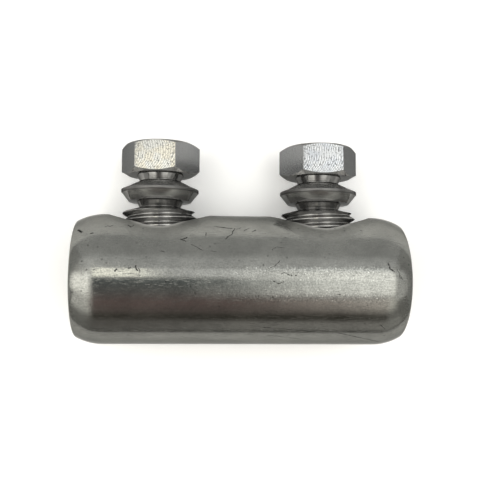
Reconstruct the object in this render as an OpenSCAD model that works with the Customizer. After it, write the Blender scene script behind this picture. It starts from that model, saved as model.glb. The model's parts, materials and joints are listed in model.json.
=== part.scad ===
// Shear-bolt cable connector: a tubular body with a blind bore in each end,
// and two shear-head bolts that clamp the conductors.
// The connector lies on its side, the way it comes to rest on a table.

/* [Connector body] */
// Outside diameter of the body
body_d = 24; // [21:0.5:32]
// Length of the body over both end faces
body_l = 60; // [54:1:90]
// Length of the rounded stretch at each end
end_round_l = 5; // [2:0.5:7]
// Radius of the arc that rounds each end
end_round_r = 10; // [8:0.5:16]
// Bore that takes the conductor
bore_d = 13; // [10:0.5:14]
// Wall left between the two blind bores
partition_t = 3; // [2:0.5:6]
// Chamfer at the mouth of each bore
mouth_chamfer = 0.8; // [0.4:0.1:1.4]

/* [Bolt holes] */
// Distance of each bolt's axis from the end face next to it
bolt_inset = 15; // [14:0.5:17]
// Running clearance between thread and hole, on the radius
thread_clearance = 0.05; // [0.02:0.01:0.1]
// Diameter of the countersink round each hole
countersink_d = 19.2; // [17:0.2:20]
// Fall of the countersink towards the hole, in degrees
countersink_fall = 40; // [30:1:45]
// Depth of the tapped hole below the bolt's tip
tap_depth = 3.8; // [3.6:0.1:5]
// Point angle of the tapping drill, in degrees
drill_point = 118; // [110:2:140]

/* [Thread] */
// Outside diameter of the thread
thread_d = 13.9; // [12:0.1:14]
// Pitch of the right-hand thread
thread_pitch = 1.5; // [1:0.25:2]
// Gap between the bolt's tip and the crown of the bore at rest
tip_gap = 0.1; // [0.05:0.05:0.5]
// Chamfer on the bolt's tip
tip_chamfer = 1.2; // [1:0.1:1.5]

/* [Shear grooves] */
// Height of the lower groove above the body at rest
lower_groove_stand = 1.3; // [1.1:0.1:2]
// Diameter at the bottom of both grooves
groove_d = 7.6; // [6:0.1:8.4]
// Fall of the roof below the lower groove, out to the thread, in degrees
thread_roof_fall = 15; // [10:1:18]
// Height of the steep upper side of each groove
groove_side_h = 1.15; // [0.6:0.05:1.3]
// Diameter at the top of each groove's steep side
groove_top_d = 8.7; // [8.4:0.1:9]

/* [Collar] */
// Largest diameter of the collar
collar_d = 14.5; // [13.5:0.1:15]
// Diameter of the collar's underside
collar_foot_d = 11.7; // [10.5:0.1:12.5]
// Height of the cone between underside and rim
collar_cone_h = 1.75; // [1.2:0.05:2]
// Height of the collar's cylindrical rim
collar_rim_h = 0.45; // [0.3:0.05:0.8]
// Height of the roof from the rim up to the upper groove
collar_roof_h = 1.65; // [1.2:0.05:2]

/* [Hexagon head] */
// Width across the flats, for a 13 mm socket
head_af = 12.85; // [11.5:0.05:13]
// Height of the head
head_h = 5.75; // [4.5:0.05:7]
// Diameter of the flat ring inside each chamfer
head_face_d = 12.3; // [11:0.1:12.4]
// Slope of the head's chamfers, in degrees
head_chamfer_slope = 30; // [20:1:35]
// Turn of the left bolt about its axis, in degrees
left_turn = -67; // [-90:1:-30]
// Turn of the right bolt about its axis, in degrees
right_turn = -121; // [-150:1:-90]

/* [Hidden] */
$fn = 96;
// Overshoot of cutting shapes past the faces that they cut
cut_past = 1;

// Body
body_r = body_d / 2;
bore_r = bore_d / 2;
half_l = body_l / 2;
bolt_x = half_l - bolt_inset;
hole_r = thread_d / 2 + thread_clearance;
countersink_r = countersink_d / 2;

// Bolt heights, measured from the axis of the body
tip_z = bore_r + tip_gap;
groove1_z = body_r + lower_groove_stand;
collar_foot_z = groove1_z + groove_side_h;
collar_cone_z = collar_foot_z + collar_cone_h;
collar_rim_z = collar_cone_z + collar_rim_h;
groove2_z = collar_rim_z + collar_roof_h;
head_foot_z = groove2_z + groove_side_h;
head_top_z = head_foot_z + head_h;

// Thread, with the profile of a metric thread: its depth and crest follow from the pitch
sharp_h = thread_pitch * sqrt(3) / 2;
thread_depth = sharp_h * 17 / 24;
crest_flat = thread_pitch / 8;
// Slope of the flanks, in degrees
flank_slope = 30;
// Depth by which the ridge is rooted in the core of the thread
ridge_root = 0.05;
// Number of steps in one turn of the ridge
ridge_steps = $fn / 3;

// Shank and grooves
crest_r = thread_d / 2;
root_r = crest_r - thread_depth;
groove_r = groove_d / 2;
groove_top_r = groove_top_d / 2;
thread_top_z = groove1_z - (crest_r - groove_r) * tan(thread_roof_fall);

// Head
head_r = head_af / 2 / cos(30);
head_face_r = head_face_d / 2;
head_fall = (head_r - head_face_r) * tan(head_chamfer_slope);
// Depth of the lowest edge of a head below its bolt's axis
function head_drop(turn) = head_r * cos(30 - abs((turn + 390) % 60 - 30));

// Lean of the bolts when a head or the collar touches the table
function touch_lean(height, drop) =
    asin(body_r / norm([height, drop])) - atan2(drop, height);
lean = min(
    touch_lean(head_top_z - head_fall, max(head_drop(left_turn), head_drop(right_turn))),
    touch_lean(collar_rim_z, collar_d / 2)
);
// Farthest reach of the heads from the axis of the body, along the table
reach = head_top_z * cos(lean) + head_face_r * sin(lean);
axis_y = (body_r - reach) / 2;

// Lays the connector down. Its children have the body's axis on X and the bolts along +Z.
module lie_down() {
    translate([0, axis_y, body_r])
        rotate([-90 - lean, 0, 0])
            children();
}

// Half of the body's outline, with its rounded end, as radius and length
module body_outline() {
    square([body_r, half_l - end_round_l]);
    intersection() {
        square([body_r, half_l]);
        translate([body_r - end_round_r, half_l - end_round_l])
            circle(r = end_round_r);
    }
}

// Blind bore with a chamfered mouth, as radius and length
module bore_outline() {
    polygon([
        [0, partition_t / 2],
        [bore_r, partition_t / 2],
        [bore_r, half_l - mouth_chamfer],
        [bore_r + mouth_chamfer + cut_past, half_l + cut_past],
        [0, half_l + cut_past]
    ]);
}

// Tapped hole with its drilled point below and its countersink above
module bolt_hole() {
    floor_z = tip_z - tap_depth;
    rise = tan(countersink_fall);
    rotate_extrude()
        polygon([
            [0, floor_z - hole_r / tan(drill_point / 2)],
            [hole_r, floor_z],
            [hole_r, body_r - (countersink_r - hole_r) * rise],
            [countersink_r + cut_past, body_r + cut_past * rise],
            [0, body_r + cut_past * rise]
        ]);
}

module half_body() {
    rotate([0, 90, 0])
        rotate_extrude()
            difference() {
                body_outline();
                bore_outline();
            }
}

module connector_body() {
    color("#a9a8a5")
        lie_down()
            difference() {
                union() {
                    half_body();
                    mirror([1, 0, 0])
                        half_body();
                }
                for (side = [-1, 1])
                    translate([side * bolt_x, 0, 0])
                        bolt_hole();
            }
}

// Ridge of the thread, swept up a right-hand helix past both ends of the threaded length
module thread_ridge() {
    foot_r = root_r - ridge_root;
    foot_half = crest_flat / 2 + (crest_r - foot_r) * tan(flank_slope);
    start_z = tip_z - thread_pitch;
    turns = ceil((thread_top_z - tip_z) / thread_pitch) + 2;
    last = turns * ridge_steps;
    section = [
        [foot_r, -foot_half],
        [crest_r, -crest_flat / 2],
        [crest_r, crest_flat / 2],
        [foot_r, foot_half]
    ];
    n = len(section);
    points = [
        for (i = [0 : last], p = section)
            let (a = i * 360 / ridge_steps)
            [p.x * cos(a), p.x * sin(a), start_z + p.y + i * thread_pitch / ridge_steps]
    ];
    walls = [
        for (i = [0 : last - 1], j = [0 : n - 1])
            let (a = i * n + j, b = i * n + (j + 1) % n)
            each [[a, b, b + n], [a, b + n, a + n]]
    ];
    caps = [
        [0, 3, 2],
        [0, 2, 1],
        [last * n, last * n + 1, last * n + 2],
        [last * n, last * n + 2, last * n + 3]
    ];
    polyhedron(points, concat(walls, caps));
}

// Threaded shank, trimmed by the tip's chamfer and by the roof of the lower groove
module threaded_shank() {
    intersection() {
        union() {
            translate([0, 0, tip_z])
                cylinder(r = root_r, h = groove1_z - tip_z);
            thread_ridge();
        }
        rotate_extrude()
            polygon([
                [0, tip_z],
                [crest_r - tip_chamfer, tip_z],
                [crest_r, tip_z + tip_chamfer],
                [crest_r, thread_top_z],
                [groove_r, groove1_z],
                [0, groove1_z]
            ]);
    }
}

// Both grooves and the collar between them, up to the head
module neck() {
    rotate_extrude()
        polygon([
            [0, groove1_z],
            [groove_r, groove1_z],
            [groove_top_r, collar_foot_z],
            [collar_foot_d / 2, collar_foot_z],
            [collar_d / 2, collar_cone_z],
            [collar_d / 2, collar_rim_z],
            [groove_r, groove2_z],
            [groove_top_r, head_foot_z],
            [0, head_foot_z]
        ]);
}

// Hexagon head, chamfered on both faces
module hexagon_head() {
    translate([0, 0, head_foot_z])
        intersection() {
            cylinder(r = head_r, h = head_h, $fn = 6);
            rotate_extrude()
                polygon([
                    [0, 0],
                    [head_face_r, 0],
                    [head_r, head_fall],
                    [head_r, head_h - head_fall],
                    [head_face_r, head_h],
                    [0, head_h]
                ]);
        }
}

module shear_bolt(side, turn) {
    color("#8d8c89")
        lie_down()
            translate([side * bolt_x, 0, 0])
                rotate([0, 0, turn]) {
                    threaded_shank();
                    neck();
                    hexagon_head();
                }
}

module shear_bolt_left() {
    shear_bolt(-1, left_turn);
}

module shear_bolt_right() {
    shear_bolt(1, right_turn);
}

connector_body();
shear_bolt_left();
shear_bolt_right();
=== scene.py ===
import json
import math

import bmesh
import bpy
import numpy as np
from mathutils import Matrix, Vector

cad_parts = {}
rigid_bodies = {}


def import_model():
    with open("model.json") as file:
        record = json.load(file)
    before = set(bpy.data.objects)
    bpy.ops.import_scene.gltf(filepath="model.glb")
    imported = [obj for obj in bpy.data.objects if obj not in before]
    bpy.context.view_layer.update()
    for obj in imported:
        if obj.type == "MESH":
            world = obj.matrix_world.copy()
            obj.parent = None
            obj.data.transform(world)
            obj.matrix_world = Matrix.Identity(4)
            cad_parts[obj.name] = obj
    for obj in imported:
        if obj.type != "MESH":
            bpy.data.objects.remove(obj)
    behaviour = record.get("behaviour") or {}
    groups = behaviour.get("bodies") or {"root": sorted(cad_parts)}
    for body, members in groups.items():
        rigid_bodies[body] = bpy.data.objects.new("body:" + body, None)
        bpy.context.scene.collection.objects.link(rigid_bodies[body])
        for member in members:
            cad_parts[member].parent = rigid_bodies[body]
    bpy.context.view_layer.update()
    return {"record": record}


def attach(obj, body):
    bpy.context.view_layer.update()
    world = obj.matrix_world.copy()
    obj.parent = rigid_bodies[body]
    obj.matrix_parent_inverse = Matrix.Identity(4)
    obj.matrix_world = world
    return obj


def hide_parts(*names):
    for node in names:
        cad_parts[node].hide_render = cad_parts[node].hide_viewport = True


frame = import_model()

# Sizes in millimetres. In the working frame the sleeve's axis is X and the bolts point along +Z.
# Sleeve
BODY_R = 12.0
HALF_L = 30.0
ROUND_L = 5.0
ROUND_R = 10.0
EDGE_R = 0.5
BORE_R = 6.5
PARTITION = 3.0
MOUTH = 0.8
BOLT_INSET = 15.0
BOLT_X = HALF_L - BOLT_INSET

# Thread
CREST_R = 6.95
PITCH = 1.5
CREST_FLAT = PITCH / 8
THREAD_DEPTH = PITCH * math.sqrt(3) / 2 * 17 / 24
ROOT_R = CREST_R - THREAD_DEPTH
FLANK = math.radians(30)
TIP_GAP = 0.1
TIP_Z = BORE_R + TIP_GAP
TIP_CHAMFER = 1.2

# Bolt holes
CLEARANCE = 0.05
HOLE_R = CREST_R + CLEARANCE
SINK_R = 9.6
SINK_FALL = math.radians(40)
TAP_DEPTH = 3.8
HOLE_FLOOR = TIP_Z - TAP_DEPTH
DRILL_HALF = math.radians(59)
# Brow of a hole, the rounding of its edge, at its sides and at its front and back
BROW_SIDE = 0.3
BROW_FRONT = 0.9
# Softening of the countersink's rim, the lines of points along it, and its least distance from the brow
SINK_SOFT = 0.13
RIM_LINES = (-0.16, -0.08, 0, 0.08, 0.16)
RIM_GAP = 0.6

# Shear grooves and collar
GROOVE_STAND = 1.3
GROOVE_SIDE = 1.15
GROOVE_R = 3.8
GROOVE_TOP_R = 4.35
ROOF_FALL = math.radians(15)
COLLAR_FOOT_R = 5.85
COLLAR_R = 7.25
COLLAR_CONE = 1.75
COLLAR_RIM = 0.45
COLLAR_ROOF = 1.65
GROOVE_Z = BODY_R + GROOVE_STAND
COLLAR_FOOT_Z = GROOVE_Z + GROOVE_SIDE
COLLAR_CONE_Z = COLLAR_FOOT_Z + COLLAR_CONE
COLLAR_RIM_Z = COLLAR_CONE_Z + COLLAR_RIM
GROOVE2_Z = COLLAR_RIM_Z + COLLAR_ROOF

# Hexagon head
HEAD_H = 5.75
HEAD_AF = 12.85
HEAD_FACE_R = 6.15
HEAD_SLOPE = math.radians(30)
HEAD_CORNER = 0.15
HEAD_FOOT_Z = GROOVE2_Z + GROOVE_SIDE
HEAD_TOP_Z = HEAD_FOOT_Z + HEAD_H
TURNS = {"left": -67.0, "right": -121.0}

# Fineness of the meshes
TURNED_SEGMENTS = 192
BORE_SEGMENTS = 160
PATCH_HALF = 10.0
PATCH_QUADS = 56
BACK_QUADS = 116
MIDDLE_QUADS = 24
BROW_STEPS = 7
SINK_STEPS = 8
OUTSIDE_STEPS = 13
WALL_STEPS = 8
CONE_STEPS = 4
ROUND_STEPS = 18
EDGE_STEPS = 7
SHARP_ANGLE = math.radians(28)

# How the connector lies: the sleeve's axis from a cable bore, the lean of the bolts from a joint's axis.
record = frame["record"]
bore_pos = record["mounts"][0]["pos_m"]
bolt_axis = record["behaviour"]["joints"][0]["axis"]
LEAN = math.atan2(-bolt_axis[2], bolt_axis[1])
LIFT = Matrix.Translation((0, bore_pos[1] * 1000, bore_pos[2] * 1000))
LIE = LIFT @ Matrix.Rotation(-math.pi / 2 - LEAN, 4, "X")
TO_METRES = Matrix.Scale(0.001, 4)


def new_mesh(name, verts, faces):
    mesh = bpy.data.meshes.new(name)
    mesh.from_pydata([tuple(v) for v in verts], [], [tuple(f) for f in faces])
    mesh.validate()
    return mesh


def new_object(name, data):
    obj = bpy.data.objects.new(name, data)
    bpy.context.scene.collection.objects.link(obj)
    return obj


def outward(mesh):
    """Turns every face outward."""
    bm = bmesh.new()
    bm.from_mesh(mesh)
    bmesh.ops.recalc_face_normals(bm, faces=bm.faces)
    bm.to_mesh(mesh)
    bm.free()


def merge_close(mesh):
    """Joins points less than a micrometre apart."""
    close = 0.0003
    bm = bmesh.new()
    bm.from_mesh(mesh)
    bmesh.ops.remove_doubles(bm, verts=bm.verts, dist=close)
    bmesh.ops.dissolve_degenerate(bm, edges=bm.edges, dist=close)
    bm.to_mesh(mesh)
    bm.free()


def boolean(mesh, cutter, operation):
    """The mesh after a boolean with the cutter; both inputs are used up."""
    base = new_object("boolean_base", mesh)
    tool = new_object("boolean_tool", cutter)
    mod = base.modifiers.new("cut", "BOOLEAN")
    mod.operation = operation
    mod.solver = "EXACT"
    mod.object = tool
    bpy.context.view_layer.update()
    out = bpy.data.meshes.new_from_object(base.evaluated_get(bpy.context.evaluated_depsgraph_get()))
    for obj, used in ((base, mesh), (tool, cutter)):
        bpy.data.objects.remove(obj)
        bpy.data.meshes.remove(used)
    merge_close(out)
    return out


def fillet(points, steps=4):
    """Rounds the corners of an open outline. Each point is (across, along, radius)."""
    out = []
    for i, (x, y, r) in enumerate(points):
        corner = np.array((x, y), float)
        if r == 0 or i in (0, len(points) - 1):
            out.append(corner)
            continue
        a = np.array(points[i - 1][:2], float) - corner
        b = np.array(points[i + 1][:2], float) - corner
        a /= np.linalg.norm(a)
        b /= np.linalg.norm(b)
        half = math.acos(np.clip(a @ b, -1, 1)) / 2
        middle = (a + b) / np.linalg.norm(a + b)
        centre = corner + middle * r / math.sin(half)
        start = corner + a * r / math.tan(half) - centre
        end = corner + b * r / math.tan(half) - centre
        turn = math.acos(np.clip(start @ end / r / r, -1, 1))
        for k in range(steps + 1):
            t = k / steps
            spoke = (math.sin((1 - t) * turn) * start + math.sin(t * turn) * end) / math.sin(turn)
            out.append(centre + spoke)
    return out


def revolve(name, outline, segments, along_x=False):
    """Closed solid of revolution. The outline runs from axis to axis as (radius, height)."""
    verts, rings, faces = [], [], []
    for r, h in outline:
        if r < 1e-9:
            rings.append([len(verts)])
            verts.append((0, 0, h))
        else:
            rings.append(list(range(len(verts), len(verts) + segments)))
            for k in range(segments):
                a = 2 * math.pi * k / segments
                verts.append((r * math.cos(a), r * math.sin(a), h))
    for lower, upper in zip(rings, rings[1:]):
        for k in range(segments):
            m = (k + 1) % segments
            if len(lower) == 1:
                faces.append((lower[0], upper[m], upper[k]))
            elif len(upper) == 1:
                faces.append((lower[k], lower[m], upper[0]))
            else:
                faces.append((lower[k], lower[m], upper[m], upper[k]))
    if along_x:
        verts = [(h, x, y) for x, y, h in verts]
    mesh = new_mesh(name, verts, faces)
    outward(mesh)
    return mesh


# The sleeve
def end_outline():
    """Rounded end from the straight part out to the end face, as (x, radius)."""
    centre_x = HALF_L - ROUND_L
    centre_r = BODY_R - ROUND_R
    edge_x = HALF_L - EDGE_R
    edge_r = centre_r + math.sqrt((ROUND_R - EDGE_R) ** 2 - (edge_x - centre_x) ** 2)
    meet = math.atan2(edge_x - centre_x, edge_r - centre_r)
    out = []
    for a in np.linspace(0, meet, ROUND_STEPS + 1)[1:]:
        out.append((centre_x + ROUND_R * math.sin(a), centre_r + ROUND_R * math.cos(a)))
    for a in np.linspace(meet, math.pi / 2, EDGE_STEPS + 1)[1:]:
        out.append((edge_x + EDGE_R * math.sin(a), edge_r + EDGE_R * math.cos(a)))
    return out


def sink_height(rho):
    """Height of the countersink at a distance from the hole's axis."""
    return BODY_R - (SINK_R - rho) * math.tan(SINK_FALL)


def brow_width(across):
    """Rounding of a hole's edge, widest at the front and back, where across is 1."""
    return BROW_SIDE + (BROW_FRONT - BROW_SIDE) * across ** 2


def skin_height(x, y):
    """Height of the sleeve's surface near a bolt hole, with the countersink's rim a little rounded."""
    rho = math.hypot(x, y)
    tube = math.sqrt(BODY_R ** 2 - y * y)
    sink = sink_height(rho)
    near = max(SINK_SOFT - abs(tube - sink), 0) / SINK_SOFT
    z = min(tube, sink) - near * near * SINK_SOFT / 4
    brow = brow_width(y / rho)
    if rho < HOLE_R + brow:
        z -= brow - math.sqrt(max(brow ** 2 - (HOLE_R + brow - rho) ** 2, 0))
    return z


def rim_radius(across, low, high):
    """Distance from the hole's axis at which the countersink meets the round skin, between two bounds."""
    for _ in range(40):
        middle = (low + high) / 2
        if sink_height(middle) < math.sqrt(BODY_R ** 2 - (middle * across) ** 2):
            low = middle
        else:
            high = middle
    return high


class SleeveSkin:
    """Turned skin of quads, in lines along X and angles round the axis. Round each bolt hole a square
    of it gives way to rings of quads."""

    def __init__(self):
        self.verts, self.faces, self.ids = [], [], {}
        reach = math.asin(PATCH_HALF / BODY_R)
        self.angles = list(np.linspace(-reach, reach, PATCH_QUADS + 1))
        self.angles += list(np.linspace(reach, 2 * math.pi - reach, BACK_QUADS + 1)[1:-1])
        ends = end_outline()
        patch = np.linspace(-PATCH_HALF, PATCH_HALF, PATCH_QUADS + 1)
        inner = BOLT_X - PATCH_HALF
        self.lines = [(-x, r) for x, r in reversed(ends)]
        left = len(self.lines)
        self.lines += [(-BOLT_X + x, BODY_R) for x in patch]
        self.lines += [(x, BODY_R) for x in np.linspace(-inner, inner, MIDDLE_QUADS + 1)[1:-1]]
        right = len(self.lines)
        self.lines += [(BOLT_X + x, BODY_R) for x in patch]
        self.lines += ends
        # First line of each square, and the place of its hole along X
        self.squares = {left: -BOLT_X, right: BOLT_X}

    def add(self, x, y, z):
        self.verts.append((x, y, z))
        return len(self.verts) - 1

    def build_grid(self):
        count = len(self.angles)
        for i, (x, r) in enumerate(self.lines):
            crossed = any(first < i < first + PATCH_QUADS for first in self.squares)
            for j, a in enumerate(self.angles):
                if not (crossed and 0 < j < PATCH_QUADS):
                    self.ids[i, j] = self.add(x, r * math.sin(a), r * math.cos(a))
        for i in range(len(self.lines) - 1):
            crossed = any(first <= i < first + PATCH_QUADS for first in self.squares)
            for j in range(count):
                if not (crossed and j < PATCH_QUADS):
                    corners = ((i, j), (i, (j + 1) % count), (i + 1, (j + 1) % count), (i + 1, j))
                    self.faces.append(tuple(self.ids[at] for at in corners))

    def build_hole(self, first, centre):
        """Fills the square round a bolt hole, down to the point left by the drill."""
        last = first + PATCH_QUADS
        steps = range(PATCH_QUADS)
        edge = [(first + k, 0) for k in steps]
        edge += [(last, k) for k in steps]
        edge += [(last - k, PATCH_QUADS) for k in steps]
        edge += [(first, PATCH_QUADS - k) for k in steps]
        rows = [self.hole_row(self.ids[at], centre) for at in edge]
        point = self.add(centre, 0, HOLE_FLOOR - HOLE_R / math.tan(DRILL_HALF))
        for a, b in zip(rows, rows[1:] + rows[:1]):
            self.faces.append((point, a[0], b[0]))
            for k in range(len(a) - 1):
                self.faces.append((a[k], a[k + 1], b[k + 1], b[k]))

    def hole_row(self, edge_id, centre):
        """One row of points, from the drill's point up the wall and out to the edge of the square."""
        x = self.verts[edge_id][0] - centre
        y = self.verts[edge_id][1]
        far = math.hypot(x, y)
        ux, uy = x / far, y / far
        width = brow_width(uy)
        foot = HOLE_R + width
        turns = [math.pi / 2 * k / BROW_STEPS for k in range(BROW_STEPS)]
        brow = [HOLE_R + width * (1 - math.cos(turn)) for turn in turns]
        rim = max(rim_radius(uy, foot, far), foot + RIM_GAP)
        near = [rim + d for d in RIM_LINES]
        sink = np.linspace(foot, near[0], SINK_STEPS + 1)[:-1]
        outside = np.linspace(near[-1], far, OUTSIDE_STEPS + 1)[1:-1]
        skin = []
        for rho in (*brow, *sink, *near, *outside):
            skin.append(self.add(centre + rho * ux, rho * uy, skin_height(rho * ux, rho * uy)))
        top = self.verts[skin[0]][2]
        wall = []
        for k in range(1, WALL_STEPS + 1):
            z = top + (HOLE_FLOOR - top) * k / WALL_STEPS
            wall.append(self.add(centre + HOLE_R * ux, HOLE_R * uy, z))
        for k in range(1, CONE_STEPS):
            rho = HOLE_R * (1 - k / CONE_STEPS)
            z = HOLE_FLOOR - (HOLE_R - rho) / math.tan(DRILL_HALF)
            wall.append(self.add(centre + rho * ux, rho * uy, z))
        return wall[::-1] + skin + [edge_id]

    def build_end(self, i):
        """End face on one line: a ring, and a flat inside it that the bore cuts away."""
        flat_r = 8.6
        count = len(self.angles)
        x = self.lines[i][0]
        inner = [self.add(x, flat_r * math.sin(a), flat_r * math.cos(a)) for a in self.angles]
        for j in range(count):
            k = (j + 1) % count
            self.faces.append((self.ids[i, j], self.ids[i, k], inner[k], inner[j]))
        self.faces.append(tuple(inner))


def build_sleeve():
    skin = SleeveSkin()
    skin.build_grid()
    for first, centre in skin.squares.items():
        skin.build_hole(first, centre)
    for i in (0, len(skin.lines) - 1):
        skin.build_end(i)
    mesh = new_mesh("connector_body", skin.verts, skin.faces)
    outward(mesh)
    past = 1.0
    bore = fillet([
        (0, PARTITION / 2, 0),
        (BORE_R, PARTITION / 2, 0.3),
        (BORE_R, HALF_L - MOUTH, 0.15),
        (BORE_R + MOUTH + past, HALF_L + past, 0),
        (0, HALF_L + past, 0),
    ])
    for turn in (math.pi, 0):
        cutter = revolve("bore", bore, BORE_SEGMENTS, along_x=True)
        cutter.transform(Matrix.Rotation(turn, 4, "Z"))
        mesh = boolean(mesh, cutter, "DIFFERENCE")
    return mesh


# The bolts: a turned blank, a helical groove cut round it, and a chamfered hexagon head.
def roof_z(r):
    """Height of the roof below the lower groove."""
    return GROOVE_Z - (r - GROOVE_R) * math.tan(ROOF_FALL)


def build_bolt():
    into_head = 0.4
    below_head = 0.05
    blank = fillet([
        (0, TIP_Z, 0),
        (CREST_R - TIP_CHAMFER, TIP_Z, 0.1),
        (CREST_R, TIP_Z + TIP_CHAMFER, 0.1),
        (CREST_R, roof_z(CREST_R), 0.06),
        (GROOVE_R, GROOVE_Z, 0.12),
        (GROOVE_TOP_R, COLLAR_FOOT_Z, 0.1),
        (COLLAR_FOOT_R, COLLAR_FOOT_Z, 0.1),
        (COLLAR_R, COLLAR_CONE_Z, 0.2),
        (COLLAR_R, COLLAR_RIM_Z, 0.1),
        (GROOVE_R, GROOVE2_Z, 0.12),
        (GROOVE_TOP_R, HEAD_FOOT_Z - below_head, 0),
        (GROOVE_TOP_R + below_head, HEAD_FOOT_Z + into_head, 0),
        (0, HEAD_FOOT_Z + into_head, 0),
    ])
    bolt = revolve("bolt", blank, TURNED_SEGMENTS)
    bolt = boolean(bolt, build_thread_groove(), "DIFFERENCE")
    return boolean(bolt, build_head(), "UNION")


def build_thread_groove():
    """The right-hand helical groove between the thread's crests."""
    steps, past, crest_edge, root_round = 96, 0.45, 0.05, 0.2
    half_top = (PITCH - CREST_FLAT) / 2
    side = [
        (CREST_R + past, half_top + crest_edge),
        (CREST_R + 0.01, half_top + crest_edge),
        (CREST_R - crest_edge, half_top - crest_edge * math.tan(FLANK)),
    ]
    for t in (60, 40, 20):
        a = math.radians(t)
        side.append((ROOT_R + root_round * (1 - math.cos(a)), root_round * math.sin(a)))
    section = [(r, -h) for r, h in side] + [(ROOT_R, 0)] + [(r, h) for r, h in reversed(side)]
    n = len(section)
    start = TIP_Z - 1.5 * PITCH
    last = int(steps * (roof_z(ROOT_R) + PITCH / 2 - start) / PITCH)
    verts, faces = [], []
    for i in range(last + 1):
        a = 2 * math.pi * i / steps
        z = start + PITCH * i / steps
        verts += [(r * math.cos(a), r * math.sin(a), z + dz) for r, dz in section]
    for i in range(last):
        for j in range(n):
            k = (j + 1) % n
            faces.append((i * n + j, i * n + k, i * n + n + k, i * n + n + j))
    faces.append(tuple(range(n)))
    faces.append(tuple(range(last * n, last * n + n)))
    mesh = new_mesh("groove", verts, faces)
    outward(mesh)
    return mesh


def build_head():
    past = 0.4
    head_r = HEAD_AF / 2 / math.cos(math.pi / 6)
    fall = (head_r + past - HEAD_FACE_R) * math.tan(HEAD_SLOPE)
    shape = fillet([
        (0, HEAD_FOOT_Z, 0),
        (HEAD_FACE_R, HEAD_FOOT_Z, 0.1),
        (head_r + past, HEAD_FOOT_Z + fall, 0),
        (head_r + past, HEAD_TOP_Z - fall, 0),
        (HEAD_FACE_R, HEAD_TOP_Z, 0.1),
        (0, HEAD_TOP_Z, 0),
    ])
    turned = revolve("head", shape, TURNED_SEGMENTS)
    corner_at = head_r - HEAD_CORNER / math.cos(math.pi / 6)
    ring = []
    for k in range(6):
        a = math.pi / 3 * k
        for t in np.linspace(-math.pi / 6, math.pi / 6, 5):
            ring.append((
                corner_at * math.cos(a) + HEAD_CORNER * math.cos(a + t),
                corner_at * math.sin(a) + HEAD_CORNER * math.sin(a + t),
            ))
    n = len(ring)
    verts = [(x, y, z) for z in (HEAD_FOOT_Z - 1, HEAD_TOP_Z + 1) for x, y in ring]
    faces = [(k, (k + 1) % n, n + (k + 1) % n, n + k) for k in range(n)]
    faces += [tuple(range(n)), tuple(range(n, 2 * n))]
    prism = new_mesh("hexagon", verts, faces)
    outward(prism)
    return boolean(turned, prism, "INTERSECT")


class Nodes:
    """Adds nodes to a tree. A value can be a number or another node's output."""

    def __init__(self, tree):
        self.tree = tree

    def fill(self, socket, value):
        if isinstance(value, bpy.types.NodeSocket):
            self.tree.links.new(value, socket)
        else:
            socket.default_value = value

    def node(self, kind, inputs, **settings):
        made = self.tree.nodes.new("ShaderNode" + kind)
        for name, value in settings.items():
            setattr(made, name, value)
        for key, value in inputs.items():
            self.fill(made.inputs[key], value)
        return made

    def math(self, operation, *values):
        return self.node("Math", dict(enumerate(values)), operation=operation).outputs[0]

    def product(self, first, *others):
        out = first
        for value in others:
            out = self.math("MULTIPLY", out, value)
        return out

    def total(self, *terms):
        """Sum of (weight, value) pairs."""
        out = 0.0
        for weight, value in terms:
            out = self.math("MULTIPLY_ADD", value, weight, out)
        return out

    def length(self, a, b):
        return self.math("SQRT", self.math("ADD", self.product(a, a), self.product(b, b)))

    def vector(self, operation, a, b, output="Vector"):
        return self.node("VectorMath", {0: a, 1: b}, operation=operation).outputs[output]

    def scaled(self, vector, scale):
        return self.node("VectorMath", {0: vector, "Scale": scale}, operation="SCALE").outputs[0]

    def combine(self, x, y):
        return self.node("CombineXYZ", {"X": x, "Y": y}).outputs[0]

    def attribute(self, name, output):
        return self.node("Attribute", {}, attribute_name=name).outputs[output]

    def noise(self, at, scale, detail=2.0, flat=False):
        dimensions = "2D" if flat else "3D"
        inputs = {"Vector": at, "Scale": scale, "Detail": detail}
        return self.node("TexNoise", inputs, noise_dimensions=dimensions).outputs["Fac"]

    def ramp(self, value, low, high, to_low=0.0, to_high=1.0):
        """Smooth step between two values."""
        inputs = {"Value": value, "From Min": low, "From Max": high, "To Min": to_low, "To Max": to_high}
        return self.node("MapRange", inputs, interpolation_type="SMOOTHSTEP").outputs[0]

    def mix(self, share, a, b):
        inputs = {0: share, 6: a, 7: b}
        return self.node("Mix", inputs, data_type="RGBA").outputs[2]


class Shader(Nodes):
    """The nodes of one material."""

    def __init__(self, name, metallic, tint=0.45):
        self.material = bpy.data.materials.new(name)
        self.material.use_nodes = True
        super().__init__(self.material.node_tree)
        self.surface = self.tree.nodes["Principled BSDF"]
        self.surface.inputs["Metallic"].default_value = metallic
        if metallic:
            self.surface.inputs["Specular Tint"].default_value = (tint, tint, tint, 1)

    def own_place(self):
        """Place on the bare part in millimetres, as a vector and as its three parts."""
        own = self.attribute("own", "Vector")
        parts = self.node("SeparateXYZ", {0: own}).outputs
        return own, parts["X"], parts["Y"], parts["Z"]

    def finish(self, colour, shade, roughness, height, depth):
        """Joins colour times shade, roughness and a bump of the given depth in millimetres."""
        self.fill(self.surface.inputs["Base Color"], self.scaled(colour, shade))
        self.fill(self.surface.inputs["Roughness"], roughness)
        bump = self.node("Bump", {"Height": height, "Distance": depth * 0.001})
        self.fill(self.surface.inputs["Normal"], bump.outputs[0])
        return self.material


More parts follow.
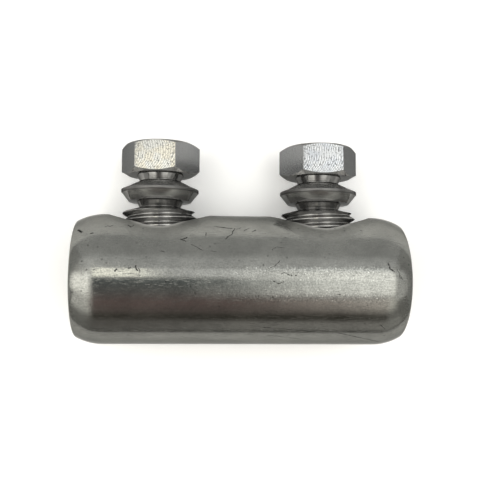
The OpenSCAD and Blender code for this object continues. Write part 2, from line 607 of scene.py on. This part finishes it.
# Knocks and scratches on the sleeve, as strokes on its unrolled skin: a width, then places along the
# sleeve and round it, counted from the side opposite the table, in millimetres.
STROKES = [
    (0.26, [(-28.8, 10.0), (-28.1, 9.1)]),
    (0.14, [(-26.5, 8.3), (-26.1, 8.4)]),
    (0.08, [(-24.2, 10.0), (-23.7, 10.5), (-23.3, 10.0), (-22.9, 10.5)]),
    (0.10, [(-20.2, 10.7), (-19.7, 10.0), (-19.2, 10.7)]),
    (0.13, [(-10.1, 6.8), (-10.9, 7.1), (-9.8, 7.5)]),
    (0.07, [(-9.0, 6.1), (-7.1, 5.0)]),
    (0.08, [(-6.6, 8.9), (-6.5, 8.0)]),
    (0.10, [(-4.9, 10.6), (-1.9, 10.0)]),
    (0.10, [(-1.5, 10.1), (-1.9, 8.6), (-3.2, 7.3)]),
    (0.09, [(-14.2, 4.7), (-13.7, 4.6)]),
    (0.06, [(-5.6, 4.9), (-4.8, 4.7)]),
    (0.13, [(-21.9, 1.0), (-21.6, 1.4)]),
    (0.11, [(-18.5, 2.1), (-18.1, 1.2)]),
    (0.08, [(-17.9, 1.6), (-17.7, 0.8)]),
    (0.08, [(-19.6, 1.6), (-19.2, 1.7)]),
    (0.10, [(-26.8, 1.2), (-26.6, 1.3)]),
    (0.08, [(-25.5, 1.2), (-25.3, 1.2)]),
    (0.10, [(-17.0, -10.2), (-16.1, -10.7)]),
    (0.07, [(-1.2, 9.9), (-0.3, 10.3)]),
    (0.07, [(0.2, 9.4), (1.1, 10.1)]),
    (0.07, [(1.6, 9.2), (2.4, 9.7)]),
    (0.10, [(3.8, 8.8), (3.9, 8.7)]),
    (0.05, [(5.0, 5.2), (5.7, 5.8), (7.2, 5.6)]),
    (0.05, [(6.1, 3.2), (5.0, 1.7)]),
    (0.05, [(5.3, 2.3), (3.9, 1.6)]),
    (0.08, [(6.4, 0.8), (7.2, 1.1), (8.3, 0.5)]),
    (0.11, [(8.8, 0.7), (9.0, 0.7)]),
    (0.08, [(5.0, -0.4), (6.0, -0.9), (6.8, -0.5)]),
    (0.20, [(25.3, 2.8), (25.5, 2.0), (26.2, 1.5)]),
    (0.06, [(26.8, 1.9), (27.8, 0.0)]),
    (0.06, [(27.1, 1.3), (27.4, 0.1)]),
    (0.10, [(21.3, 10.0), (21.4, 9.9)]),
    (0.12, [(22.3, -7.1), (22.4, -7.2)]),
    (0.08, [(24.6, -8.7), (25.3, -9.6)]),
    (0.09, [(17.3, -10.8), (22.7, -12.9), (25.7, -14.6)]),
    (0.06, [(3.7, -9.3), (8.5, -9.9), (12.1, -10.2)]),
    (0.05, [(4.7, -11.6), (10.7, -13.1)]),
]


def stroke_mask(s, place):
    """One along the middle of every stroke, falling to nothing at its width, with gaps."""
    nearest = 10.0
    for width, points in STROKES:
        for start, end in zip(points, points[1:]):
            along = Vector((end[0] - start[0], end[1] - start[1], 0))
            from_start = s.vector("SUBTRACT", place, (*start, 0))
            share = s.vector("DOT_PRODUCT", from_start, along / along.length_squared, "Value")
            share = s.math("MINIMUM", s.math("MAXIMUM", share, 0.0), 1.0)
            away = s.vector("DISTANCE", from_start, s.scaled(along, share), "Value")
            nearest = s.math("MINIMUM", nearest, s.math("DIVIDE", away, width * 1.25))
    unbroken = s.ramp(s.noise(place, 2.2, 2, flat=True), 0.25, 0.38)
    return s.product(s.ramp(nearest, 1.0, 0.2), unbroken)


def knock_mask(s, own, unrolled):
    """The strokes, with their lines made to wander."""
    wander = s.node("TexNoise", {"Vector": own, "Scale": 1.5, "Detail": 1.0}).outputs["Color"]
    wander = s.vector("MULTIPLY", s.vector("SUBTRACT", wander, (0.5, 0.5, 0.5)), (0.5, 0.5, 0.0))
    return stroke_mask(s, s.vector("ADD", unrolled, wander))


def scratch_mask(s, unrolled):
    """Fine straight scratches in three directions, given in degrees."""
    scratches = 0.0
    for turn in (52, 84, 131):
        inputs = {"Vector": unrolled, "Rotation": (0, 0, math.radians(turn)), "Scale": (0.5, 6.0, 1.0)}
        lines = s.noise(s.node("Mapping", inputs).outputs[0], 1.0, 1, flat=True)
        scratches = s.math("MAXIMUM", scratches, s.ramp(lines, 0.68, 0.76))
    return scratches


def pit_mask(s, own):
    """Small pits in a few chosen cells."""
    cells = s.node("TexVoronoi", {"Vector": own, "Scale": 1.2})
    chosen = s.node("SeparateColor", {0: cells.outputs["Color"]}).outputs[0]
    return s.product(s.ramp(cells.outputs["Distance"], 0.3, 0.12), s.ramp(chosen, 0.86, 0.97))


def frost_and_painted_glints(s, own, x, around):
    """Flecks of frosting and painted glints on the front of the sleeve, strongest in the band where its
    highlights fall, fainter in its middle and towards the ends.
    """
    from_front = s.math("ABSOLUTE", s.math("ADD", around, 0.9))
    glint_band = s.product(
        s.ramp(from_front, 3.6, 2.8),
        s.ramp(from_front, 1.2, 2.2, 0.6, 1.0),
        s.ramp(x, -7.0, 3.0, 0.2, 1.0),
        s.ramp(x, 26.0, 24.0, 0.3, 1.0),
    )
    flecks = s.ramp(s.noise(own, 3.6, 2), 0.36, 0.64, -1.0, 1.0)
    glints = s.ramp(s.noise(own, 2.6, 1), 0.63, 0.72)
    return s.product(glint_band, s.total((0.17, flecks), (0.65, glints)))


def tinned_metal():
    """Turned, tin-plated sleeve: turning marks, fine grain and pits, handling scratches and knocks, flecks
    of frosting with painted glints on its front, and a painted highlight at the front and back of each
    hole's edge.
    """
    metallic = 0.95
    s = Shader("tinned_sleeve", metallic)
    own, x, y, z = s.own_place()
    around = s.product(s.math("ARCTAN2", z, s.product(y, -1.0)), BODY_R)
    unrolled = s.combine(x, around)
    profile = s.combine(x, s.length(y, z))

    turning = s.noise(profile, 3.0, 3, flat=True)
    grain = s.noise(own, 3.4, 3)
    speckle = s.product(s.ramp(grain, 0.36, 0.64, -1.0, 1.0), s.ramp(around, 5.0, 1.0, 0.055, 0.1))
    patches = s.noise(own, 0.17, 3)
    smudges = s.ramp(s.noise(own, 0.5, 3), 0.35, 0.65, -1.0, 1.0)
    pits = pit_mask(s, own)
    knocks = knock_mask(s, own, unrolled)
    scratches = scratch_mask(s, unrolled)
    # Painted glints, with flecks of frosting, on the front of the sleeve
    frost_and_glints = frost_and_painted_glints(s, own, x, around)

    # The skin round the bolt holes is dulled by handling, and the front and back of their edges carry a
    # painted highlight: a lighter, less metallic colour.
    from_bolt = s.length(s.math("SUBTRACT", s.math("ABSOLUTE", x), BOLT_X), y)
    upper = s.ramp(z, 0.0, 4.0)
    handled = s.product(s.ramp(from_bolt, 12.0, 8.5), upper)
    painted_edge_highlight = s.product(s.ramp(from_bolt, 8.4, 7.4), upper, s.ramp(s.math("ABSOLUTE", y), 4.5, 7.2))

    colour = s.mix(s.ramp(patches, 0.35, 0.65), (0.184, 0.186, 0.175, 1), (0.208, 0.210, 0.197, 1))
    colour = s.mix(painted_edge_highlight, colour, (0.42, 0.415, 0.40, 1))
    marks = s.total((-0.85, knocks), (-0.17, scratches), (-0.4, pits))
    shade = s.total((1.0, speckle), (0.04, smudges), (1.0, marks), (1.0, frost_and_glints), (1.02, 1.0))
    roughness = s.total(
        (0.06, s.ramp(patches, 0.3, 0.7)),
        (0.1, scratches),
        (0.2, knocks),
        (0.33, handled),
        (0.09, 1.0),
    )
    height = s.total((0.3, turning), (0.4, grain), (-0.8, pits), (-0.4, scratches), (-1.5, knocks))
    s.fill(s.surface.inputs["Metallic"], s.total((-0.7, painted_edge_highlight), (metallic, 1.0)))
    return s.finish(colour, shade, roughness, height, 0.008)


def turned_metal():
    """Turned bolt: rings left by the tool on every face, a little staining, painted shade in the grooves of
    the neck and on the collar's rims, and a painted highlight on the collar's roof."""
    s = Shader("bolt_turned", 0.86, 0.2)
    own, x, y, z = s.own_place()
    radius = s.length(x, y)
    profile = s.combine(radius, z)
    rings = s.noise(profile, 6.0, 2, flat=True)
    bands = s.noise(profile, 1.3, 2, flat=True)
    stain = s.noise(own, 0.6, 3)
    grain = s.noise(own, 5.0, 2)

    thread = s.ramp(z, GROOVE_Z + 0.1, GROOVE_Z - 0.3)
    below_head = s.ramp(z, HEAD_FOOT_Z + 0.4, HEAD_FOOT_Z + 0.1)
    neck = s.math("SUBTRACT", below_head, thread)
    # Masks for painted shade in the grooves and on the rims, and for a painted highlight on the roof
    groove = s.product(s.ramp(radius, GROOVE_TOP_R + 0.35, GROOVE_TOP_R - 0.05), neck)
    rim = s.product(s.ramp(radius, COLLAR_R - 0.25, COLLAR_R - 0.1), below_head)
    roof = s.product(
        s.ramp(z, COLLAR_RIM_Z + 0.05, COLLAR_RIM_Z + 0.2),
        s.ramp(radius, GROOVE_R + 0.4, GROOVE_R + 0.8),
        s.ramp(z, GROOVE2_Z + 0.1, GROOVE2_Z),
    )

    colour = s.mix(s.ramp(stain, 0.35, 0.65), (0.27, 0.268, 0.262, 1), (0.33, 0.327, 0.32, 1))
    # Painted shade darkens the grooves of the neck and the collar's rims, a painted highlight lightens the
    # collar's roof, and the thread is a little darker
    marks = s.total((-0.45, groove), (-0.18, thread), (-0.65, rim), (0.9, roof))
    shade = s.total((0.25, rings), (0.15, grain), (1.0, marks), (0.88, 1.0))
    roughness = s.total((0.07, bands), (0.05, stain), (0.3, rim), (0.03, 1.0))
    height = s.total((0.7, rings), (0.3, grain))
    return s.finish(colour, shade, roughness, height, 0.003)


def milled_metal(name, front, crossed, tint):
    """Milled flats of a head: arcs of a cutter, crossed by the arcs of its trailing edge if asked for.
    The flat numbered front and the one opposite get a lighter, tinted colour and stronger cut marks: a
    painted highlight."""
    s = Shader(name, 0.95, 0.25)
    own, x, y, z = s.own_place()
    sixth = math.pi / 3
    sector = s.math("FLOOR", s.math("DIVIDE", s.math("ARCTAN2", y, x), sixth))
    pair = s.math("FRACT", s.math("DIVIDE", s.math("ADD", sector, 6.05 - front), 3.0))
    painted_lit_pair = s.math("LESS_THAN", pair, 0.2)

    # Place on a flat: across it, and up it from the height of the cutter's axis
    facing = s.product(s.math("ADD", sector, 0.5), sixth)
    from_y = s.product(y, s.math("COSINE", facing))
    from_x = s.product(x, s.math("SINE", facing))
    across = s.math("SUBTRACT", from_y, from_x)
    up = s.math("SUBTRACT", z, (HEAD_FOOT_Z + HEAD_TOP_Z) / 2 + 0.8)

    cutter_r, spacing = 4.6, 0.45
    bulge = s.math("SQRT", s.math("SUBTRACT", cutter_r ** 2, s.product(up, up)))
    waver = s.noise(own, 0.9, 2)
    waves = []
    for sign in (-1, 1):
        phase = s.math("MULTIPLY_ADD", bulge, sign, across)
        phase = s.math("MULTIPLY_ADD", waver, 0.5, phase)
        waves.append(s.math("SINE", s.product(phase, 2 * math.pi / spacing)))
    cuts = s.total((0.5, waves[0]), (0.5 * crossed, waves[1]))

    grain = s.noise(own, 4.0, 3)
    border = s.ramp(s.math("ABSOLUTE", across), 1.8, 3.7)
    specks = s.ramp(s.noise(own, 3.2, 2), s.math("MULTIPLY_ADD", border, -0.14, 0.52), 0.66)
    highlight_tints = s.mix(s.ramp(s.noise(own, 0.5, 2), 0.4, 0.6), (*tint[0], 1), (*tint[1], 1))
    # Painted highlight: the lit pair of flats takes the lighter tints
    colour = s.mix(painted_lit_pair, (0.225, 0.228, 0.23, 1), highlight_tints)
    marks = s.total((0.36, cuts), (-0.5, specks))
    share = s.math("MULTIPLY_ADD", painted_lit_pair, 0.75, 0.25)
    shade = s.total((1.0, s.product(marks, share)), (0.3, grain), (0.87, 1.0))
    roughness = s.total((0.15, grain), (0.15, 1.0))
    height = s.total((1.0, cuts), (1.2, grain))
    return s.finish(colour, shade, roughness, height, 0.006)


def plain_shader(name, colour, roughness):
    s = Shader(name, 0.0)
    s.surface.inputs["Base Color"].default_value = (*colour, 1)
    s.surface.inputs["Roughness"].default_value = roughness
    return s


def mark_flats(mesh):
    """Gives the six flats of a head the second material."""
    for face in mesh.polygons:
        high = face.center.z > HEAD_FOOT_Z
        outside = math.hypot(face.center.x, face.center.y) > HEAD_FACE_R
        if high and outside and abs(face.normal.z) < 0.1:
            face.material_index = 1


def finish_piece(name, mesh, place, body, node, materials):
    """Keeps each point's place on the bare part as an attribute, lays the piece down and lets it ride."""
    co = np.empty(len(mesh.vertices) * 3)
    mesh.vertices.foreach_get("co", co)
    own = mesh.attributes.new("own", "FLOAT_VECTOR", "POINT")
    own.data.foreach_set("vector", co)
    mesh.materials.clear()
    for material in materials:
        mesh.materials.append(material)
    if len(materials) > 1:
        mark_flats(mesh)
    mesh.transform(TO_METRES @ LIE @ place)
    mesh.polygons.foreach_set("use_smooth", [True] * len(mesh.polygons))
    mesh.set_sharp_from_angle(angle=SHARP_ANGLE)
    mesh.name = name
    obj = new_object(name, mesh)
    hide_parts(node)
    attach(obj, body)


sleeve_mesh = build_sleeve()
tinned = [tinned_metal()]
finish_piece("sleeve_skin", sleeve_mesh, Matrix(), "sleeve", "connector_body", tinned)
bolt_mesh = build_bolt()
turned = turned_metal()
# Tints of the painted highlight on each head's lit pair of flats
milled = {
    "left": milled_metal("bolt_milled_left", -1, 0.15, ((0.365, 0.353, 0.315), (0.345, 0.347, 0.335))),
    "right": milled_metal("bolt_milled_right", 0, 0.85, ((0.35, 0.357, 0.362), (0.325, 0.337, 0.352))),
}
for side, sign in (("left", -1), ("right", 1)):
    place = Matrix.Translation((sign * BOLT_X, 0, 0)) @ Matrix.Rotation(math.radians(TURNS[side]), 4, "Z")
    node = f"shear_bolt_{side}"
    materials = [turned, milled[side]]
    finish_piece(f"bolt_{side}", bolt_mesh.copy(), place, f"{side}_bolt", node, materials)
bpy.data.meshes.remove(bolt_mesh)

# The camera, as fitted to the photograph. Its place is counted from the sleeve's axis, in millimetres, in
# a frame tilted with the bolts. The focal length is in pixels of an image 480 pixels wide.
IMAGE_WIDTH = 480
FOCAL = 701.0
SENSOR_WIDTH = 36
CAMERA_AT = Vector((-9.52, 7.50, 131.5))
ROLL = math.radians(-0.72)
PAN = math.radians(4.18)
TILT = LEAN - math.radians(4.43)
sleeve_axis = Vector((0, bore_pos[1], bore_pos[2]))


def add_camera():
    data = bpy.data.cameras.new("camera")
    data.sensor_width = SENSOR_WIDTH
    data.lens = SENSOR_WIDTH * FOCAL / IMAGE_WIDTH
    data.clip_start = 0.005
    data.clip_end = 20
    tip_back = Matrix.Rotation(-TILT, 3, "X")
    aim = Matrix.Rotation(ROLL, 3, "Z") @ Matrix.Rotation(PAN, 3, "Y")
    place = Matrix.Translation(sleeve_axis + tip_back @ CAMERA_AT * 0.001)
    camera = new_object("camera", data)
    camera.matrix_world = place @ (tip_back @ aim.transposed()).to_4x4()
    bpy.context.scene.camera = camera


# The studio: a white floor, a soft dome, cards and softboxes. Sizes and places are in metres.
def add_floor():
    """White floor that keeps the shadow. A little glow brings it to white where it is seen or reflected."""
    half, glow = 3, 0.12
    s = plain_shader("floor", (0.97, 0.97, 0.97), 0.9)
    path = s.node("LightPath", {}).outputs
    seen = s.math("MAXIMUM", path["Is Camera Ray"], path["Is Glossy Ray"])
    seen = s.math("MAXIMUM", seen, path["Is Transmission Ray"])
    s.fill(s.surface.inputs["Emission Color"], (1, 1, 1, 1))
    s.fill(s.surface.inputs["Emission Strength"], s.product(seen, glow))
    corners = [(-half, -half, 0), (half, -half, 0), (half, half, 0), (-half, half, 0)]
    floor = new_object("floor", new_mesh("floor", corners, [(0, 1, 2, 3)]))
    floor.data.materials.append(s.material)


def add_dome():
    world = bpy.data.worlds.new("studio")
    bpy.context.scene.world = world
    world.use_nodes = True
    world.node_tree.nodes["Background"].inputs["Color"].default_value = (0.84, 0.84, 0.82, 1)


# Shades of the dark card, from its foot to its top
CARD_STOPS = [
    (0.00, (0.26, 0.25, 0.23)),
    (0.10, (0.33, 0.31, 0.29)),
    (0.24, (0.28, 0.26, 0.24)),
    (0.31, (0.10, 0.09, 0.07)),
    (0.36, (0.10, 0.09, 0.07)),
    (0.44, (0.25, 0.20, 0.18)),
    (0.60, (0.36, 0.25, 0.23)),
    (0.78, (0.26, 0.25, 0.24)),
    (0.96, (0.24, 0.27, 0.27)),
    (1.00, (0.34, 0.37, 0.37)),
]


def card_material():
    """Shades that follow the card upwards, and lighter ends."""
    material = bpy.data.materials.new("card")
    material.use_nodes = True
    material.node_tree.nodes.clear()
    n = Nodes(material.node_tree)
    upwards = n.node("ValToRGB", {0: n.attribute("share", "Fac")})
    elements = upwards.color_ramp.elements
    while len(elements) < len(CARD_STOPS):
        elements.new(0.5)
    for element, (at, colour) in zip(elements, CARD_STOPS):
        element.position = at
        element.color = (*colour, 1)
    shade = n.mix(n.attribute("side", "Fac"), upwards.outputs[0], (0.46, 0.45, 0.42, 1))
    glow = n.node("Emission", {"Color": shade})
    n.node("OutputMaterial", {"Surface": glow.outputs[0]})
    return material


def add_dark_card():
    """Curved dark card in front of the sleeve, from the floor up to the camera's axis."""
    radius, rows, above_floor = 0.34, 48, 0.0005
    columns = ((-0.6, 1), (-0.2, 1), (-0.1, 0), (0.1, 0), (0.2, 1), (0.6, 1))
    first, last = math.radians(-97), math.radians(4)
    places = [(sleeve_axis.y - radius, above_floor, 0)]
    for k in range(rows + 1):
        a = TILT + first + (last - first) * k / rows
        places.append((sleeve_axis.y + math.sin(a) * radius, sleeve_axis.z + math.cos(a) * radius, k / rows))
    n = len(columns)
    verts = [(x, y, z) for y, z, _ in places for x, _ in columns]
    faces = []
    for i in range(rows + 1):
        for j in range(n - 1):
            faces.append((i * n + j, i * n + j + 1, i * n + n + j + 1, i * n + n + j))
    mesh = new_mesh("card", verts, faces)
    shares = [share for _, _, share in places for _ in columns]
    sides = [side for _ in places for _, side in columns]
    for name, values in (("share", shares), ("side", sides)):
        mesh.attributes.new(name, "FLOAT", "POINT").data.foreach_set("value", values)
    mesh.materials.append(card_material())
    card = new_object("card", mesh)
    card.visible_camera = False


def add_flag(name, x):
    """Upright grey card beside the connector."""
    half, high = 0.8, 1.3
    corners = [(x, -half, 0), (x, half, 0), (x, half, high), (x, -half, high)]
    mesh = new_mesh(name, corners, [(0, 1, 2, 3)])
    mesh.materials.append(plain_shader(name, (0.8, 0.8, 0.79), 1.0).material)
    obj = new_object(name, mesh)
    obj.visible_camera = False


def add_softbox(name, low, high, x0, x1, level, colour=(1, 1, 1), fade=(0, 0, 0, 0)):
    """Area lamp that faces the sleeve. low and high are angles from the camera's axis, towards the heads if
    positive. fade holds the widths of the soft edges at x0, x1, low and high."""
    distance = 0.3
    data = bpy.data.lights.new(name, "AREA")
    data.shape = "RECTANGLE"
    data.size = x1 - x0
    data.size_y = 2 * distance * math.tan(math.radians(high - low) / 2)
    data.energy = level * math.pi * data.size * data.size_y
    data.color = colour
    data.use_nodes = True
    n = Nodes(data.node_tree)
    place = n.node("SeparateXYZ", {0: n.node("NewGeometry", {}).outputs["Parametric"]}).outputs
    strength = 1.0
    for k, width in enumerate(fade):
        if width:
            axis, far = divmod(k, 2)
            share = width / (x1 - x0, high - low)[axis]
            edge = n.ramp(place[axis], far, 1 - share if far else share)
            strength = n.product(strength, edge)
    n.fill(data.node_tree.nodes["Emission"].inputs["Strength"], strength)
    lamp = new_object(name, data)
    a = TILT + math.radians(low + high) / 2
    lamp.location = sleeve_axis + Vector(((x0 + x1) / 2, math.sin(a) * distance, math.cos(a) * distance))
    lamp.rotation_euler = (-a, 0, 0)
    lamp.visible_camera = False


WARM = (1, 0.98, 0.92)
add_camera()
bpy.context.scene.view_settings.view_transform = "Standard"
add_floor()
add_dome()
add_dark_card()
add_flag("flag_left", -0.8)
add_flag("flag_right", 0.8)
add_softbox("strip_left", 7, 21, -0.15, -0.034, 3.0, (1, 0.97, 0.85), (0.08, 0, 0, 0))
add_softbox("strip_middle", 8, 21, -0.034, 0.03, 0.75)
add_softbox("left_box", -30, 26, -0.78, -0.085, 2.9, WARM, (0.4, 0.09, 14, 22))
add_softbox("left_low", -72, -24, -0.45, -0.085, 1.15, WARM, (0, 0.08, 24, 0))
add_softbox("left_high", 13, 38, -0.45, -0.1, 0.3, WARM)
add_softbox("right_box", -33, 25, -0.02, 0.27, 2.8, (1, 0.99, 0.94), (0.13, 0.075, 20, 13))
add_softbox("right_low", -62, -26, 0.0, 0.32, 1.4, (1, 0.97, 0.88), (0.16, 0.18, 26, 6))
add_softbox("right_far", -44, 30, 0.2, 0.72, 0.8, (1, 1, 0.97), (0.08, 0.36, 18, 12))
add_softbox("right_foot", -97, -70, -0.06, 0.3, 0.3, WARM, (0.12, 0, 8, 6))
add_softbox("back_fill", 20, 50, -0.3, 0.3, 0.42, fade=(0, 0, 0, 14))
add_softbox("head_right", 16, 26, 0.03, 0.17, 0.75, (0.97, 1, 1), (0.02, 0.03, 4, 4))
